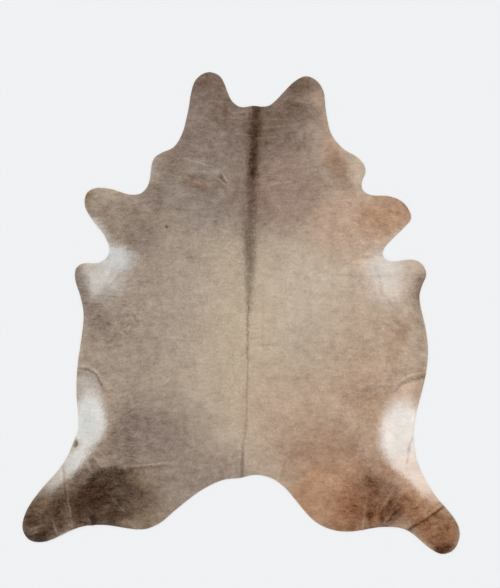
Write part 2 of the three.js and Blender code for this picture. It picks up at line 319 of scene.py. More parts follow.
# Soft oval patches, each laid over the ones before. x, y are the middle and wide, long the reach to half
# strength, in metres; turn is in degrees; soft runs from 0, a hard edge, to 1, soft right through.
patches = {
    # the broad tones of the back and sides
    "left side": (-0.57, -0.10, 0.24, 0.50, 0, "taupe", 0.80, 0.6),
    "left back": (-0.372, 0.137, 0.186, 0.245, 0, "mauve", 0.58, 1.0),
    "middle of the back": (0.04, -0.16, 0.16, 0.38, 0, "straw", 0.75, 0.8),
    "right back": (0.36, 0.12, 0.26, 0.17, 0, "cloud", 0.80, 0.8),
    "right side": (0.66, -0.16, 0.22, 0.30, 0, "fawn", 0.60, 0.7),
    "right rump": (0.48, -0.50, 0.30, 0.24, 0, "fawn", 0.80, 0.7),
    "right rump, lower": (0.42, -0.68, 0.26, 0.13, 0, "clay", 0.80, 0.8),
    "right rump, outer": (0.60, -0.40, 0.06, 0.10, 0, "clay", 0.50, 1.0),
    "loin": (0.13, -0.46, 0.12, 0.16, 0, "blush", 0.40, 1.0),
    "left rump": (-0.45, -0.60, 0.25, 0.18, 0, "ash", 0.85, 0.7),
    "left rump, outer": (-0.56, -0.55, 0.12, 0.13, 0, "walnut", 0.20, 1.0),
    "left of the tail": (-0.25, -0.85, 0.27, 0.16, 0, "ash", 0.65, 0.6),
    "tail, left": (-0.088, -0.73, 0.069, 0.078, 0, "ash", 0.45, 0.9),
    # neck and shoulders
    "neck": (-0.03, 0.98, 0.40, 0.42, 0, "ash", 0.95, 0.35),
    "left shoulder": (-0.22, 0.55, 0.33, 0.17, 0, "slate", 0.70, 0.5),
    "right shoulder": (0.20, 0.60, 0.25, 0.20, 0, "rose", 0.90, 0.5),
    "right neck": (0.27, 0.87, 0.14, 0.16, 0, "rose", 0.40, 0.8),
    "right shoulder, outer": (0.56, 0.44, 0.22, 0.17, 0, "blush", 0.85, 0.5),
    "right neck edge": (0.456, 0.833, 0.059, 0.088, -30, "blush", 0.80, 0.6),
    "right cheek edge": (0.397, 0.96, 0.029, 0.088, 5, "clay", 0.40, 0.9),
    "right shoulder mark": (0.47, 0.725, 0.044, 0.103, 27, "clay", 0.85, 0.8),
    "right shoulder mark, dark": (0.466, 0.71, 0.039, 0.078, 27, "walnut", 0.30, 0.9),
    "right shoulder flap": (0.583, 0.71, 0.039, 0.083, -10, "cream", 0.35, 0.9),
    "left cheek tip": (-0.16, 1.14, 0.10, 0.06, 0, "walnut", 0.80, 0.8),
    "left cheek, inner": (-0.09, 0.985, 0.05, 0.08, 10, "walnut", 0.70, 0.8),
    "nape": (0.132, 0.926, 0.118, 0.108, 0, "walnut", 0.85, 0.9),
    "right cheek tip": (0.304, 1.117, 0.10, 0.05, -15, "walnut", 0.95, 0.7),
    "right cheek": (0.255, 0.995, 0.088, 0.049, 0, "walnut", 0.45, 0.9),
    "right cheek, middle": (0.314, 1.029, 0.069, 0.049, 0, "walnut", 0.40, 1.0),
    "right cheek, outer": (0.368, 1.063, 0.044, 0.034, 0, "blush", 0.50, 0.9),
    "left shoulder whorl": (-0.201, 0.642, 0.059, 0.039, 0, "walnut", 0.90, 0.9),
    "left shoulder, pit": (-0.093, 0.661, 0.029, 0.034, 0, "walnut", 0.50, 0.9),
    "left shoulder, edge": (-0.42, 0.578, 0.05, 0.06, 0, "ash", 0.70, 0.8),
    "left shoulder, dark": (-0.358, 0.73, 0.069, 0.064, 0, "walnut", 0.50, 0.9),
    "left shoulder, flap": (-0.416, 0.72, 0.02, 0.044, 0, "mist", 0.35, 0.9),
    "left shoulder, pale": (-0.186, 0.701, 0.127, 0.069, 0, "taupe", 0.45, 0.9),
    "left shoulder, outer": (-0.367, 0.426, 0.064, 0.064, 0, "sand", 0.50, 0.9),
    # forelegs
    "left shoulder, lower": (-0.382, 0.289, 0.162, 0.069, 0, "taupe", 0.75, 0.9),
    "left foreleg": (-0.593, 0.446, 0.24, 0.108, 0, "drab", 0.90, 0.4),
    "left foreleg, tip": (-0.74, 0.573, 0.049, 0.034, 0, "fallow", 0.80, 0.9),
    "left foreleg, middle": (-0.608, 0.475, 0.054, 0.044, 0, "taupe", 0.40, 0.9),
    "left foreleg, root": (-0.461, 0.338, 0.054, 0.054, 20, "ash", 0.85, 0.9),
    "left foreleg, underside": (-0.701, 0.416, 0.034, 0.078, 48, "mist", 0.98, 0.6),
    "right foreleg": (0.75, 0.48, 0.171, 0.118, 0, "tan", 0.90, 0.4),
    "right foreleg, dark": (0.681, 0.514, 0.069, 0.039, 0, "clay", 0.25, 0.9),
    "right foreleg, light": (0.666, 0.46, 0.083, 0.039, 20, "honey", 0.45, 0.9),
    "right foreleg, edge": (0.818, 0.5, 0.017, 0.083, 28, "clay", 0.65, 0.9),
    "right foreleg, underside": (0.74, 0.377, 0.02, 0.054, -48, "cream", 0.80, 0.7),
    "right foreleg, root": (0.662, 0.343, 0.059, 0.012, 4, "cream", 0.45, 0.9),
    # armpits and elbows
    "left armpit": (-0.617, 0.279, 0.088, 0.054, -10, "pearl", 0.88, 0.6),
    "left armpit, notch": (-0.637, 0.309, 0.034, 0.029, 0, "pearl", 0.60, 0.8),
    "left elbow": (-0.686, 0.176, 0.103, 0.083, 30, "frost", 0.74, 0.9),
    "left elbow, lower": (-0.632, 0.083, 0.098, 0.069, 0, "taupe", 0.25, 1.0),
    "left elbow, edge": (-0.779, 0.117, 0.039, 0.152, 15, "ash", 0.90, 0.8),
    "left belly": (-0.671, -0.044, 0.073, 0.088, -20, "ash", 0.60, 0.9),
    "left belly, lower": (-0.632, -0.113, 0.108, 0.059, 0, "drab", 0.55, 0.9),
    "left belly, spot": (-0.701, -0.005, 0.034, 0.059, 10, "ash", 0.45, 1.0),
    "right armpit": (0.691, 0.225, 0.083, 0.059, -15, "frost", 0.97, 0.8),
    "right armpit, inner": (0.603, 0.25, 0.088, 0.049, 0, "cream", 0.50, 1.0),
    "right armpit, lower": (0.73, 0.157, 0.083, 0.098, -10, "oat", 0.85, 0.9),
    "right elbow": (0.853, 0.215, 0.044, 0.044, 0, "cream", 0.40, 0.8),
    "right elbow, tip": (0.882, 0.108, 0.044, 0.078, -14, "walnut", 0.95, 0.8),
    "right elbow, inner": (0.823, 0.122, 0.034, 0.049, -10, "fawn", 0.45, 0.9),
    "right belly": (0.774, -0.074, 0.049, 0.118, -15, "clay", 0.45, 0.9),
    "right belly, top": (0.779, 0.024, 0.059, 0.059, 0, "cloud", 0.45, 0.9),
    "right belly, edge": (0.882, -0.083, 0.029, 0.147, 0, "drab", 0.35, 1.0),
    # hind legs
    "left thigh, rear": (-0.402, -0.931, 0.064, 0.108, -28, "drab", 0.80, 0.9),
    "left thigh, upper": (-0.632, -0.691, 0.098, 0.059, 0, "walnut", 0.35, 0.8),
    "left thigh": (-0.637, -0.897, 0.206, 0.147, 4, "peat", 0.97, 0.25),
    "left thigh, top": (-0.627, -0.774, 0.098, 0.022, 0, "peat", 0.85, 0.5),
    "left thigh, outer": (-0.465, -0.902, 0.069, 0.108, -20, "walnut", 0.45, 0.9),
    "left thigh, pale band": (-0.465, -0.818, 0.064, 0.039, -20, "fallow", 0.75, 0.8),
    "left thigh, dark": (-0.75, -0.882, 0.088, 0.108, -12, "cocoa", 0.88, 0.8),
    "left thigh, darkest": (-0.764, -0.946, 0.059, 0.064, 0, "bistre", 0.42, 0.9),
    "left thigh, low": (-0.617, -0.975, 0.078, 0.039, 8, "cocoa", 0.40, 0.9),
    "left thigh, foot": (-0.769, -0.995, 0.069, 0.044, 8, "peat", 0.90, 0.7),
    "left thigh, edge": (-0.701, -1.054, 0.206, 0.025, 0, "peat", 0.80, 0.7),
    "left thigh, hem": (-0.48, -1.034, 0.078, 0.029, -16, "fallow", 0.70, 0.9),
    "left thigh, rear low": (-0.446, -0.985, 0.069, 0.049, -28, "fallow", 0.60, 0.9),
    "left shank": (-0.946, -0.985, 0.113, 0.167, -48, "umber", 0.97, 0.35),
    "left shank, middle": (-0.926, -0.975, 0.069, 0.088, -48, "peat", 0.50, 1.0),
    "left shank, outer": (-1.014, -1.034, 0.044, 0.044, 0, "peat", 0.55, 0.9),
    "left shank, top": (-0.955, -0.912, 0.025, 0.064, -45, "fallow", 0.65, 0.9),
    "left shank tip": (-0.995, -1.098, 0.073, 0.039, -8, "bistre", 0.90, 0.8),
    "left shank tip, pale": (-1.014, -1.054, 0.02, 0.02, 0, "drab", 0.35, 0.9),
    "left thigh, fringe": (-0.789, -0.774, 0.044, 0.118, -42, "drab", 0.75, 0.8),
    "right thigh": (0.436, -0.897, 0.206, 0.167, 8, "apricot", 0.92, 0.5),
    "right thigh, rear": (0.299, -0.892, 0.034, 0.098, 36, "copper", 0.30, 0.9),
    "right thigh, band": (0.456, -0.828, 0.127, 0.034, -22, "honey", 0.75, 0.9),
    "right thigh, top": (0.573, -0.745, 0.098, 0.039, -22, "honey", 0.50, 0.9),
    "right thigh, middle": (0.534, -0.956, 0.088, 0.108, 10, "rust", 0.85, 0.7),
    "right hock": (0.818, -0.941, 0.098, 0.064, -40, "rust", 0.92, 0.5),
    "right thigh, dark": (0.657, -0.882, 0.108, 0.118, 14, "auburn", 0.88, 0.85),
    "right thigh, low": (0.671, -0.985, 0.098, 0.049, 0, "auburn", 0.85, 0.8),
    "right thigh, fold": (0.647, -1.019, 0.02, 0.039, -10, "rust", 0.45, 0.9),
    "right thigh, hem": (0.51, -1.044, 0.078, 0.034, -2, "russet", 0.75, 0.9),
    "right thigh, edge": (0.706, -1.059, 0.137, 0.022, 0, "auburn", 0.75, 0.7),
    # painted shade in the pocket beside the hock fold
    "right hock, pocket": (0.75, -0.97, 0.039, 0.039, 25, "chestnut", 0.55, 0.9),
    "right hock, pale": (0.794, -1.024, 0.044, 0.025, 10, "clay", 0.80, 0.8),
    "right shank": (0.956, -1.044, 0.093, 0.147, 44, "russet", 0.97, 0.4),
    "right shank, pale": (0.921, -1.073, 0.059, 0.029, 40, "copper", 0.60, 0.9),
    "right shank, outer": (1.029, -1.073, 0.029, 0.059, 15, "copper", 0.40, 0.9),
    "right shank tip": (0.98, -1.157, 0.054, 0.034, 25, "chestnut", 1.00, 0.8),
    "right shank tip, dark": (0.98, -1.166, 0.044, 0.02, 15, "bistre", 0.45, 0.9),
    "right thigh, front": (0.897, -0.921, 0.044, 0.113, 48, "apricot", 0.85, 0.8),
    # pale flanks
    "left flank, top": (-0.75, -0.348, 0.064, 0.064, 0, "mist", 0.60, 0.7),
    "left flank, inner": (-0.666, -0.5, 0.044, 0.137, -4, "fawn", 0.45, 0.9),
    "left flank": (-0.74, -0.524, 0.083, 0.132, -8, "frost", 1.00, 0.3),
    "left flank, by the leg": (-0.813, -0.716, 0.044, 0.093, -40, "frost", 1.00, 0.45),
    "left leg, front": (-0.897, -0.799, 0.034, 0.078, -43, "mist", 0.90, 0.7),
    "left thigh, front": (-0.789, -0.794, 0.029, 0.118, -49, "walnut", 0.60, 0.9),
    "left flank, hollow": (-0.742, -0.529, 0.034, 0.064, 0, "pearl", 0.70, 0.6),
    "left flank, crease shade": (-0.759, -0.289, 0.059, 0.015, -15, "ash", 0.35, 0.9),
    "right flank, top": (0.818, -0.382, 0.054, 0.073, -32, "cream", 0.72, 0.6),
    "right flank, above": (0.867, -0.275, 0.064, 0.034, 0, "clay", 0.35, 0.9),
    "right flank, inner": (0.686, -0.564, 0.039, 0.206, 3, "honey", 0.30, 0.9),
    "right flank, notch": (0.725, -0.769, 0.029, 0.054, 30, "copper", 0.75, 0.9),
    "right flank": (0.789, -0.593, 0.108, 0.164, 4, "milk", 1.00, 0.3),
    "right flank, join": (0.843, -0.74, 0.039, 0.059, 20, "shell", 0.90, 0.5),
    "right flank, by the leg": (0.862, -0.814, 0.044, 0.142, 46, "shell", 0.93, 0.4),
    "right flank, hollow": (0.789, -0.564, 0.044, 0.078, 0, "frost", 0.40, 0.9),
    "right flank, edge": (0.862, -0.377, 0.017, 0.059, -18, "clay", 0.45, 0.9),
    "right flank, outer": (0.946, -0.912, 0.029, 0.059, 46, "honey", 0.55, 0.9),
    "right flank, warm edge": (0.769, -0.809, 0.025, 0.069, 44, "honey", 0.55, 0.9),
    "right flank, warm spot": (0.828, -0.863, 0.025, 0.049, 46, "honey", 0.55, 0.9),
}


def addNode(tree, kind, settings=None, inputs=None):
    made = tree.nodes.new(kind)
    for key, value in (settings or {}).items():
        setattr(made, key, value)
    for key, value in (inputs or {}).items():
        if isinstance(value, bpy.types.NodeSocket):
            tree.links.new(value, made.inputs[key])
        else:
            made.inputs[key].default_value = value
    return made


def mathNode(tree, operation, *values):
    return addNode(tree, "ShaderNodeMath", {"operation": operation}, dict(enumerate(values))).outputs[0]


def vectorNode(tree, operation, inputs):
    return addNode(tree, "ShaderNodeVectorMath", {"operation": operation}, inputs).outputs[0]


def smoothStep(tree, value, low, high, start, end):
    # left without its clamp, since more than some 240 clamped masks turn the material black
    return addNode(tree, "ShaderNodeMapRange", {"interpolation_type": "SMOOTHSTEP", "clamp": False},
                   {0: value, 1: low, 2: high, 3: start, 4: end}).outputs[0]


def curveNode(tree, value, rows):
    made = addNode(tree, "ShaderNodeFloatCurve", None, {"Value": value})
    points = made.mapping.curves[0].points
    points[0].location = rows[0]
    points[-1].location = rows[-1]
    for row in rows[1:-1]:
        points.new(*row)
    made.mapping.update()
    return made.outputs[0]


def gammaNode(tree, colour, gamma):
    return addNode(tree, "ShaderNodeGamma", None, {"Color": colour, "Gamma": gamma}).outputs[0]


def mixColour(tree, factor, below, above):
    mixed = addNode(tree, "ShaderNodeMix", {"data_type": "RGBA", "clamp_factor": True})
    for socket, value in ((0, factor), (6, below), (7, above)):
        if isinstance(value, bpy.types.NodeSocket):
            tree.links.new(value, mixed.inputs[socket])
        else:
            mixed.inputs[socket].default_value = value
    return mixed.outputs[2]


def noiseNode(tree, place, scale, detail=2.0, output="Fac"):
    return addNode(tree, "ShaderNodeTexNoise", None,
                   {"Vector": place, "Scale": scale, "Detail": detail}).outputs[output]


warps = (  # how far noise pushes the patch edges about: metres, and noise scale
    {"reach": 0.030, "scale": 5.0},
    {"reach": 0.034, "scale": 21.0},
    {"reach": 0.018, "scale": 80.0},
)


def warpedPlace(tree, place, share=1.0):
    moved = place
    for warp in warps:
        noise = noiseNode(tree, place, warp["scale"], 2.0, "Color")
        centred = vectorNode(tree, "SUBTRACT", {0: noise, 1: (0.5, 0.5, 0.5)})
        reach = share * warp["reach"]
        moved = vectorNode(tree, "MULTIPLY_ADD", {0: centred, 1: (reach, reach, reach), 2: moved})
    return vectorNode(tree, "MULTIPLY", {0: moved, 1: (1.0, 1.0, 0.0)})


def addPatch(tree, place, colour, row):
    patch = dict(zip(patchColumns, row))
    outer = 1 + patch["soft"]
    local = addNode(tree, "ShaderNodeMapping", {"vector_type": "TEXTURE"}, {
        "Vector": place,
        "Location": (patch["x"], patch["y"], 0.0),
        "Rotation": (0.0, 0.0, math.radians(patch["turn"])),
        "Scale": (patch["wide"] * outer, patch["long"] * outer, 1.0)}).outputs[0]
    ball = addNode(tree, "ShaderNodeTexGradient", {"gradient_type": "SPHERICAL"}, {"Vector": local})
    mask = smoothStep(tree, ball.outputs["Fac"], 0.0, 2 * patch["soft"] / outer, 0.0, patch["strength"])
    return mixColour(tree, mask, colour, toneColour(patch["tone"]))


lineColumns = ("x1", "y1", "x2", "y2", "halfWidth", "tone", "strength", "soft")
lines = {  # wrinkle and fold lines in painted light and painted shade (lighter ridges, darker feet), scars and small marks, each from one end to the other in metres
    # nape, neck and cheek wrinkle lines: painted highlights and painted shade standing in for the
    # wrinkles' relief
    "nape wrinkle": (-0.044, 0.977, 0.044, 0.99, 0.0044, "fawn", 0.35, 0.9),
    "nape wrinkle, lower": (-0.064, 0.953, 0.034, 0.963, 0.0044, "fawn", 0.30, 0.9),
    "nape wrinkle, middle": (-0.039, 0.931, 0.044, 0.941, 0.0039, "fawn", 0.25, 0.9),
    "nape wrinkle, right": (0.123, 0.955, 0.216, 0.948, 0.0039, "fawn", 0.25, 0.9),
    "neck wrinkle, left": (-0.024, 0.874, 0.044, 0.87, 0.0044, "fawn", 0.30, 0.9),
    "neck wrinkle": (0.074, 0.857, 0.172, 0.862, 0.0044, "fawn", 0.25, 0.9),
    "neck wrinkle, outer": (0.103, 0.906, 0.289, 0.926, 0.0039, "fawn", 0.20, 0.9),
    "neck wrinkle, low": (0.083, 0.843, 0.211, 0.818, 0.0039, "walnut", 0.25, 0.9),
    "cheek wrinkle": (0.201, 1.029, 0.338, 0.999, 0.0049, "walnut", 0.40, 0.9),
    "cheek wrinkle, upper": (0.206, 1.048, 0.387, 1.014, 0.0044, "fawn", 0.30, 0.9),
    "cheek wrinkle, left": (-0.216, 1.083, -0.064, 1.122, 0.0049, "walnut", 0.20, 0.9),
    "cheek wrinkle, low": (-0.162, 1.039, -0.073, 1.029, 0.0044, "fawn", 0.30, 0.9),
    "shoulder line": (0.123, 0.622, 0.25, 0.647, 0.0044, "cream", 0.30, 0.9),
    "shoulder line, left": (-0.397, 0.509, -0.191, 0.505, 0.0044, "walnut", 0.25, 0.9),
    "whorl, upper": (-0.284, 0.759, -0.142, 0.72, 0.0049, "mist", 0.18, 1.0),
    "whorl, middle": (-0.26, 0.696, -0.113, 0.696, 0.0049, "mist", 0.18, 1.0),
    "whorl, long": (-0.22, 0.75, -0.073, 0.661, 0.0044, "mist", 0.15, 1.0),
    "whorl, right": (-0.137, 0.671, -0.064, 0.622, 0.0049, "mist", 0.20, 1.0),
    "whorl, pit": (-0.105, 0.674, -0.078, 0.642, 0.0093, "umber", 0.65, 0.8),
    "whorl, rim": (-0.093, 0.691, -0.064, 0.642, 0.0039, "cream", 0.35, 0.9),
    "whorl, curl": (-0.26, 0.666, -0.162, 0.607, 0.0171, "clay", 0.30, 1.0),
    "whorl, curl dark": (-0.269, 0.652, -0.22, 0.647, 0.0078, "walnut", 0.45, 1.0),
    "mole": (-0.375, 0.421, -0.36, 0.421, 0.0073, "umber", 0.75, 0.6),
    "mole, right": (-0.137, 0.446, -0.118, 0.451, 0.0073, "walnut", 0.60, 0.8),
    "mole, belly": (-0.529, -0.0, -0.495, -0.054, 0.0073, "walnut", 0.45, 0.9),
    "fleck, back": (-0.299, 0.26, -0.22, 0.274, 0.0059, "walnut", 0.25, 0.9),
    "back line": (-0.382, -0.115, -0.22, -0.13, 0.0039, "mist", 0.25, 1.0),
    "back line, lower": (-0.358, -0.128, -0.201, -0.137, 0.0039, "walnut", 0.12, 1.0),
    "back line, dark": (0.108, 0.015, 0.108, -0.181, 0.0059, "walnut", 0.16, 1.0),
    "spine, loin": (0.036, 0.064, 0.029, -0.436, 0.0044, "walnut", 0.38, 0.9),
    "spine, rump": (0.029, -0.407, 0.009, -0.711, 0.0039, "walnut", 0.26, 0.9),
    "spine, tail": (0.009, -0.662, 0.004, -0.809, 0.0064, "umber", 0.36, 0.9),
    "tail mark, left": (-0.088, -0.725, -0.059, -0.779, 0.0069, "clay", 0.40, 1.0),
    "tail mark, right": (0.194, -0.814, 0.211, -0.735, 0.0064, "russet", 0.40, 1.0),
    "belly line": (-0.593, 0.122, -0.412, 0.171, 0.0049, "ash", 0.25, 1.0),
    "belly line, lower": (-0.554, 0.157, -0.397, 0.206, 0.0044, "ash", 0.25, 0.9),
    "armpit scratch": (-0.652, 0.083, -0.573, 0.076, 0.0039, "walnut", 0.40, 0.9),
    "right armpit line": (0.613, 0.181, 0.72, 0.176, 0.0044, "clay", 0.22, 1.0),
    "right armpit scratch": (0.696, 0.147, 0.691, 0.103, 0.0049, "clay", 0.18, 1.0),
    "right armpit curl": (0.51, 0.191, 0.564, 0.176, 0.0059, "walnut", 0.20, 0.9),
    "belly fleck, right": (0.755, -0.025, 0.774, -0.069, 0.0108, "walnut", 0.30, 1.0),
    # painted shade along the left flank fold
    "left flank curve": (-0.794, -0.27, -0.745, -0.274, 0.0054, "walnut", 0.60, 0.8),
    "left flank curve, bend": (-0.755, -0.272, -0.703, -0.304, 0.0054, "walnut", 0.65, 0.8),
    "left flank curve, end": (-0.713, -0.294, -0.676, -0.363, 0.0059, "walnut", 0.60, 0.9),
    "left flank mark": (-0.813, -0.657, -0.806, -0.62, 0.0088, "umber", 0.75, 0.7),
    # painted shade along the right flank fold
    "right flank line": (0.818, -0.331, 0.916, -0.309, 0.0108, "fallow", 0.65, 1.0),
    "right flank line, bend": (0.782, -0.346, 0.848, -0.317, 0.0088, "fallow", 0.50, 1.0),
    "right flank line, end": (0.75, -0.387, 0.791, -0.338, 0.0073, "clay", 0.45, 1.0),
    "right flank line, dark": (0.877, -0.321, 0.919, -0.311, 0.0064, "russet", 0.40, 1.0),
    "right flank shade": (0.593, -0.373, 0.701, -0.368, 0.0118, "drab", 0.40, 1.0),
    "right flank mark": (0.833, -0.627, 0.809, -0.74, 0.0073, "clay", 0.18, 1.0),
    "right flank mark, dark": (0.826, -0.642, 0.817, -0.676, 0.0064, "clay", 0.28, 1.0),
    "right flank mark, foot": (0.808, -0.735, 0.823, -0.701, 0.0059, "clay", 0.28, 1.0),
    "right flank mark, upper": (0.84, -0.613, 0.831, -0.637, 0.0049, "clay", 0.30, 1.0),
    "left thigh, top edge": (-0.706, -0.762, -0.554, -0.757, 0.0088, "bistre", 0.30, 1.0),
    "left thigh scar": (-0.634, -0.897, -0.612, -0.931, 0.0044, "taupe", 0.20, 0.9),
    "left thigh scar, lower": (-0.603, -0.946, -0.563, -0.973, 0.0044, "taupe", 0.18, 0.9),
    # painted shadow beside the left hock pucker, and painted shade on the left shank crease's right side
    "left hock, dark": (-0.72, -0.98, -0.696, -1.039, 0.0123, "bistre", 0.55, 0.9),
    "left shank, dark": (-0.862, -0.867, -0.833, -1.039, 0.0064, "bistre", 0.12, 0.9),
    "left shank line": (-0.921, -1.029, -0.899, -1.093, 0.0049, "taupe", 0.45, 0.8),
    "left shank curl": (-1.034, -1.059, -0.98, -1.039, 0.0059, "clay", 0.45, 0.9),
    "left shank curl, low": (-1.024, -1.083, -0.99, -1.063, 0.0049, "clay", 0.40, 0.9),
    # right thigh and hock folds: painted highlights on the ridges and painted shade in the hollows and
    # pockets beside them
    "right thigh fold, dark": (0.63, -0.941, 0.632, -1.054, 0.0093, "chestnut", 0.75, 0.9),
    "right thigh fold, middle": (0.666, -0.956, 0.662, -1.054, 0.0088, "copper", 0.45, 0.9),
    "right thigh fold, third": (0.691, -0.965, 0.693, -1.049, 0.0073, "chestnut", 0.60, 0.9),
    "right thigh crease, light": (0.745, -0.863, 0.676, -0.975, 0.0073, "copper", 0.50, 0.9),
    "right thigh fold, light": (0.61, -0.931, 0.605, -1.059, 0.0064, "copper", 0.60, 0.9),
    "right thigh crease, dark": (0.76, -0.872, 0.706, -0.975, 0.0118, "chestnut", 0.45, 1.0),
    "right hock fold": (0.848, -0.877, 0.799, -1.0, 0.0078, "copper", 0.40, 0.9),
    "right hock pocket": (0.73, -0.98, 0.789, -0.941, 0.0147, "chestnut", 0.45, 1.0),
    "right hock fleck": (0.848, -0.965, 0.872, -0.946, 0.0073, "bistre", 0.35, 0.9),
    # right shank crease: painted highlight on the ridge and painted shade at its foot
    "right shank, crease": (0.794, -1.044, 0.975, -0.934, 0.0098, "honey", 0.36, 0.9),
    "right shank, foot of the crease": (0.818, -1.059, 0.877, -1.022, 0.0088, "chestnut", 0.60, 1.0),
    "right shank, foot, dark": (0.862, -1.032, 0.941, -0.98, 0.0069, "chestnut", 0.35, 1.0),
    "right shank, foot, upper": (0.926, -0.99, 0.995, -0.943, 0.0083, "chestnut", 0.60, 1.0),
    "right shank mottle": (0.916, -0.975, 0.975, -1.005, 0.0127, "bistre", 0.40, 1.0),
    "right shank mottle, low": (0.902, -1.063, 0.946, -1.034, 0.0118, "chestnut", 0.45, 1.0),
    "right shank mottle, outer": (0.995, -1.029, 1.014, -1.063, 0.0118, "bistre", 0.45, 1.0),
    "right shank fleck": (0.931, -1.054, 0.956, -1.044, 0.0069, "honey", 0.45, 0.9),
    "right shank fleck, low": (0.907, -1.108, 0.946, -1.137, 0.0078, "chestnut", 0.40, 1.0),
    "right shank tip, rim": (0.965, -1.122, 1.014, -1.117, 0.0059, "copper", 0.40, 0.9),
    "right thigh flecks": (0.441, -0.882, 0.5, -0.931, 0.0171, "russet", 0.35, 1.0),
    # painted highlight along the left shank crease's ridge
    "left shank line, long": (-0.872, -0.755, -0.855, -0.853, 0.0049, "fawn", 0.40, 0.9),
    "left shank line, low": (-0.857, -0.843, -0.826, -1.049, 0.0054, "fawn", 0.42, 0.9),
    "left armpit streak": (-0.632, 0.25, -0.676, 0.142, 0.0098, "frost", 0.35, 1.0),
    "left armpit streak, inner": (-0.588, 0.23, -0.647, 0.142, 0.0078, "frost", 0.30, 1.0),
    "left armpit furrow": (-0.573, 0.206, -0.671, 0.108, 0.0054, "ash", 0.22, 1.0),
    "right armpit streak": (0.681, 0.25, 0.725, 0.083, 0.0108, "frost", 0.40, 1.0),
    "right armpit streak, inner": (0.637, 0.235, 0.686, 0.064, 0.0088, "oat", 0.35, 1.0),
    "right armpit streak, outer": (0.74, 0.211, 0.769, 0.064, 0.0098, "frost", 0.25, 1.0),
    "right armpit furrow": (0.666, 0.22, 0.696, 0.083, 0.0059, "clay", 0.14, 1.0),
    "right armpit fleck": (0.676, 0.127, 0.696, 0.098, 0.0069, "walnut", 0.20, 1.0),
    "right armpit fleck, low": (0.72, 0.064, 0.74, 0.034, 0.0069, "walnut", 0.28, 1.0),
    "right armpit edge": (0.544, 0.264, 0.662, 0.279, 0.0078, "clay", 0.35, 1.0),
    "left flank streak": (-0.735, -0.676, -0.686, -0.75, 0.0064, "cloud", 0.40, 1.0),
    "left flank streak, inner": (-0.706, -0.667, -0.652, -0.725, 0.0059, "cloud", 0.30, 1.0),
    "left flank streak, low": (-0.769, -0.716, -0.73, -0.779, 0.0059, "cloud", 0.35, 1.0),
    "left flank streak, dark": (-0.75, -0.711, -0.701, -0.779, 0.0059, "umber", 0.35, 1.0),
    # left thigh crease: painted highlight on the ridge and painted shade at its foot
    "left thigh crease": (-0.588, -0.756, -0.446, -0.742, 0.0059, "fawn", 0.26, 1.0),
    "left thigh crease, long": (-0.47, -0.744, -0.309, -0.726, 0.0054, "fawn", 0.20, 1.0),
    "left thigh crease, foot": (-0.603, -0.769, -0.397, -0.752, 0.0073, "walnut", 0.35, 1.0),
    "right thigh streak": (0.289, -0.902, 0.524, -0.769, 0.0078, "honey", 0.40, 1.0),
    "right thigh streak, low": (0.377, -0.975, 0.485, -0.858, 0.0069, "russet", 0.22, 1.0),
    "right thigh streak, dark": (0.221, -0.804, 0.201, -0.73, 0.0098, "clay", 0.35, 1.0),
    "right rump furrow": (0.436, -0.524, 0.544, -0.544, 0.0088, "drab", 0.30, 1.0),
    "right rump furrow, low": (0.466, -0.627, 0.613, -0.613, 0.0088, "drab", 0.28, 1.0),
    "left shank fleck": (-1.044, -1.005, -0.995, -0.97, 0.0108, "bistre", 0.25, 1.0),
    "left shank tip, dark": (-1.034, -1.117, -0.965, -1.117, 0.0118, "bistre", 0.45, 1.0),
    "whorl, speck": (-0.26, 0.681, -0.238, 0.669, 0.0064, "umber", 0.35, 1.0),
    "whorl, speck right": (-0.186, 0.664, -0.162, 0.647, 0.0064, "umber", 0.32, 1.0),
    "whorl, speck low": (-0.225, 0.622, -0.196, 0.612, 0.0064, "umber", 0.30, 1.0),
    "whorl, speck left": (-0.284, 0.647, -0.265, 0.632, 0.0064, "umber", 0.25, 1.0),
    "whorl, light": (-0.245, 0.647, -0.196, 0.632, 0.0049, "fawn", 0.30, 1.0),
}


def addLine(tree, place, colour, row):
    line = dict(zip(lineColumns, row))
    eastward, northward = line["x2"] - line["x1"], line["y2"] - line["y1"]
    middleX, middleY = (line["x1"] + line["x2"]) / 2, (line["y1"] + line["y2"]) / 2
    reach, turn = math.hypot(eastward, northward) / 2, math.degrees(math.atan2(northward, eastward))
    return addPatch(tree, place, colour, (middleX, middleY, reach, line["halfWidth"], turn, line["tone"],
                                          line["strength"], line["soft"]))


stripeColumns = ("y", "x", "halfWidth", "strength")
stripe = (  # the dark line along the spine, from the nape to the tail
    (1.03, 0.072, 0.038, 0.85),
    (0.98, 0.070, 0.044, 1.00),
    (0.86, 0.066, 0.047, 1.00),
    (0.70, 0.056, 0.048, 1.00),
    (0.655, 0.052, 0.052, 0.76),
    (0.61, 0.051, 0.058, 0.62),
    (0.48, 0.044, 0.056, 0.58),
    (0.36, 0.042, 0.050, 0.66),
    (0.26, 0.041, 0.046, 0.56),
    (0.14, 0.040, 0.034, 0.48),
    (0.00, 0.037, 0.016, 0.30),
    (-0.12, 0.034, 0.010, 0.20),
    (-0.30, 0.031, 0.010, 0.08),
    (-0.50, 0.022, 0.010, 0.06),
    (-0.66, 0.011, 0.014, 0.16),
    (-0.73, 0.007, 0.018, 0.30),
    (-0.80, 0.003, 0.020, 0.32),
)


def curveAlongSpine(tree, level, column, scale):
    low, high = stripe[-1][0], stripe[0][0]
    at = stripeColumns.index(column)
    rows = [((row[0] - low) / (high - low), row[at] / scale) for row in reversed(stripe)]
    return mathNode(tree, "MULTIPLY", curveNode(tree, level, rows), scale)


stripeLayers = (  # a wide soft halo, then the dark line itself
    {"spread": 2.4, "share": 0.22, "tone": "umber"},
    {"spread": 1.0, "share": 0.95, "tone": "cocoa"},
)


